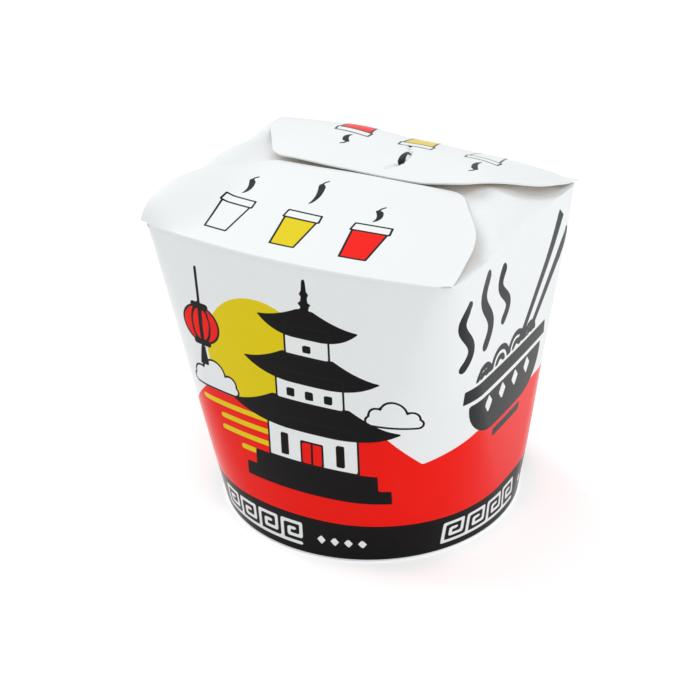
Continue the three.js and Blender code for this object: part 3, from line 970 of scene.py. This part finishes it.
def grainedMaterial(name, look, group):
    # A material with the board's grain, as a tone times its colour and as a bump.
    material = bpy.data.materials.new(name)
    material.use_nodes = True
    tree = material.node_tree
    shader = tree.nodes["Principled BSDF"]
    place = newNode(tree, "ShaderNodeTexCoord")
    grainNode = newNode(tree, "ShaderNodeGroup", node_tree=group)
    setInputs(grainNode, {"Fibre": look["fibre"], "Cloud": look["cloud"]})
    tree.links.new(place.outputs["Object"], grainNode.inputs["Place"])
    toned = newNode(tree, "ShaderNodeVectorMath", operation="SCALE")
    tree.links.new(grainNode.outputs["Tone"], toned.inputs["Scale"])
    tree.links.new(toned.outputs[0], shader.inputs["Base Color"])
    bump = newNode(tree, "ShaderNodeBump")
    setInputs(bump, {"Strength": look["bump"], "Distance": look["bumpDepth"]})
    tree.links.new(grainNode.outputs["Height"], bump.inputs["Height"])
    tree.links.new(bump.outputs[0], shader.inputs["Normal"])
    return material, toned.inputs[0], grainNode.outputs["Gloss"]


def makePrintedBoard(grainGroup, inkGroup):
    # White board with the inks laid over it in order, and then the dark outlines.
    material, colourInput, gloss = grainedMaterial("printed_board", board, grainGroup)
    tree = material.node_tree
    shader = tree.nodes["Principled BSDF"]

    def field(name):
        return newNode(tree, "ShaderNodeAttribute", attribute_name=name).outputs["Fac"]

    def layer(under, ink, distance, reach=0):
        node = newNode(tree, "ShaderNodeGroup", node_tree=inkGroup)
        setInputs(node, {"Ink": ink, "Reach": reach})
        tree.links.new(under, node.inputs["Under"])
        tree.links.new(distance, node.inputs["Field"])
        return node.outputs["Colour"]

    under = newNode(tree, "ShaderNodeMix", data_type="RGBA")
    setInputs(under, {"A": board["white"], "B": board["inside"]})
    tree.links.new(field("insideFace"), under.inputs["Factor"])
    colour = under.outputs["Result"]
    for name in inks:
        colour = layer(colour, board[name], field(name))
    for name in outlines:
        distance = mathNode(tree, "ABSOLUTE", field(name))
        colour = layer(colour, board["edge"], distance, board["edgeHalf"])
    tree.links.new(colour, colourInput)
    tree.links.new(mathNode(tree, "ADD", gloss, board["roughness"]), shader.inputs["Roughness"])
    # The thin coat is clear from above and hazy at a low angle.
    setInputs(shader, {
        "Specular IOR Level": board["specular"],
        "Sheen Weight": board["haze"], "Sheen Roughness": board["hazeRoughness"],
    })
    return material


def makePlainBoard(grainGroup):
    # Bare board, the same colour all over.
    material, colourInput, _ = grainedMaterial("plain_board", plain, grainGroup)
    colourInput.default_value = plain["white"][:3]
    setInputs(material.node_tree.nodes["Principled BSDF"], {"Roughness": plain["roughness"]})
    return material


def dress(piece, material, node):
    # Gives a piece its material in a slot, puts it under the root body and hides the solid of its node.
    piece.data.materials.append(material)
    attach(piece, "root")
    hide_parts(node)


grainGroup = makeGrainGroup()
inkGroup = makeInkGroup()
printedBoard = makePrintedBoard(grainGroup, inkGroup)
plainBoard = makePlainBoard(grainGroup)
print("materials made")

dress(buildBody(), printedBoard, "carton")
print("body built")
dress(buildFlap("front_flap", -1, frontHeight), printedBoard, "carton")
dress(buildFlap("back_flap", 1, backHeight), printedBoard, "carton")
print("flaps built")
dress(buildDisc(), plainBoard, "base_disc")
print("disc built")

# Stage: a pale floor, white surroundings and soft lights above on both sides and low on the right.
stage = {
    "floor": 4.0, "floorTone": 0.965, "floorRoughness": 0.9, "floorGlow": 0.20, "world": 0.61,
    "lights": [
        {"name": "key_light", "place": (0.80, -0.20, 1.20), "size": 1.5, "power": 8.6},
        {"name": "left_light", "place": (-0.95, 0.15, 0.80), "size": 1.0, "power": 8.2},
        {"name": "right_light", "place": (1.25, 0.05, 0.45), "size": 1.0, "power": 2.2},
    ],
    "target": (0, 0, 0.05), "white": (1, 1, 1, 1),
}


def makeStage():
    # A square floor and an even white world.
    half = stage["floor"] / 2 / mm
    corners = np.array([(-half, -half, 0), (half, -half, 0), (half, half, 0), (-half, half, 0)])
    floor = putMesh("floor", corners, [(0, 1, 2, 3)], smooth=False)
    material = bpy.data.materials.new("pale_floor")
    material.use_nodes = True
    tree = material.node_tree
    shader = tree.nodes["Principled BSDF"]
    # A faint glow that only the camera sees keeps the floor near white beside the box.
    setInputs(shader, {
        "Base Color": (stage["floorTone"],) * 3 + (1,), "Roughness": stage["floorRoughness"],
        "Emission Color": stage["white"],
    })
    seen = newNode(tree, "ShaderNodeLightPath").outputs["Is Camera Ray"]
    glow = mathNode(tree, "MULTIPLY", seen, stage["floorGlow"])
    tree.links.new(glow, shader.inputs["Emission Strength"])
    floor.data.materials.append(material)
    world = bpy.data.worlds.new("surroundings")
    world.use_nodes = True
    setInputs(world.node_tree.nodes["Background"], {"Color": stage["white"], "Strength": stage["world"]})
    bpy.context.scene.world = world


def makeSoftLight(name, place, size, power):
    # A square area light turned towards the target.
    data = bpy.data.lights.new(name, "AREA")
    data.size = size
    data.energy = power
    lamp = putObject(name, data)
    lamp.location = place
    towards = Vector(stage["target"]) - Vector(place)
    lamp.rotation_euler = towards.to_track_quat("-Z", "Y").to_euler()


makeStage()
for light in stage["lights"]:
    makeSoftLight(**light)
bpy.context.scene.view_settings.view_transform = "Standard"
print("stage set")
